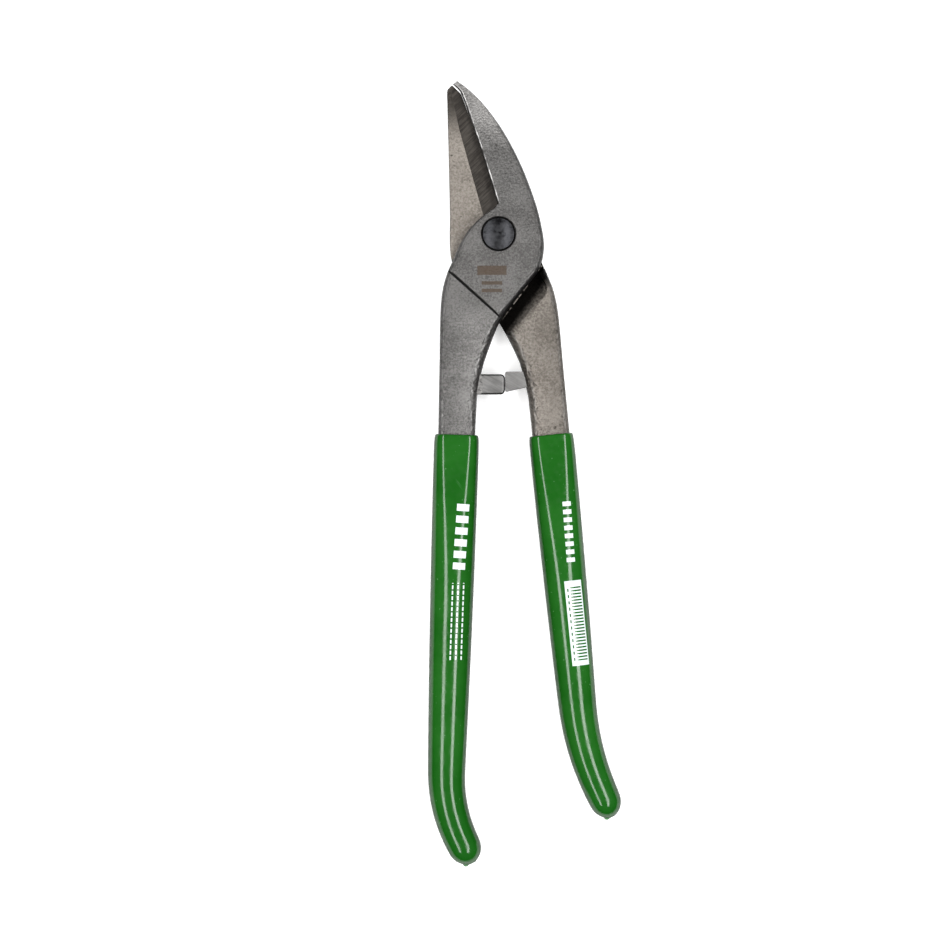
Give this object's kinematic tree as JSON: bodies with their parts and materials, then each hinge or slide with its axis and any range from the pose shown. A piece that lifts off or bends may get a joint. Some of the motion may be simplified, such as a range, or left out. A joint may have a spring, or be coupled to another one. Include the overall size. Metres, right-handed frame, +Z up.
{
  "type": "hand snips",
  "caption": "One-hand hole-cutting tin snips: crossed forged blades on a bolted lap joint, stop lugs, and handles with dipped plastic grips.",
  "frame": {"origin": "on the pivot axis, at the flat end of the pivot nut and bolt, which the tool lies on", "axes": "+Y towards the blade tips, +Z up out of the bolt's head along the pivot axis, +X towards the curved blade's back"},
  "size_m": [0.0677, 0.275, 0.0152],
  "materials": {
    "forged_steel_front": "blasted forged stainless steel, ground at the cutting edge",
    "forged_steel_rear": "blasted forged stainless steel, ground on the inner face",
    "black_steel": "blackened steel",
    "spring_steel": "plain spring steel",
    "green_grip": "glossy dipped PVC"
  },
  "bodies": {
    "front_lever": {"front_half": "forged_steel_front", "pivot_bolt": "black_steel", "spring_washer": "spring_steel", "pivot_nut": "black_steel", "front_grip": "green_grip"},
    "rear_lever": {"rear_half": "forged_steel_rear", "rear_grip": "green_grip"}
  },
  "joints": [
    {"name": "pivot", "type": "hinge", "parent": "front_lever", "child": "rear_lever", "pos_m": [0, 0, 0], "axis": [0, 0, 1], "range_deg": [0, 50]}
  ]
}
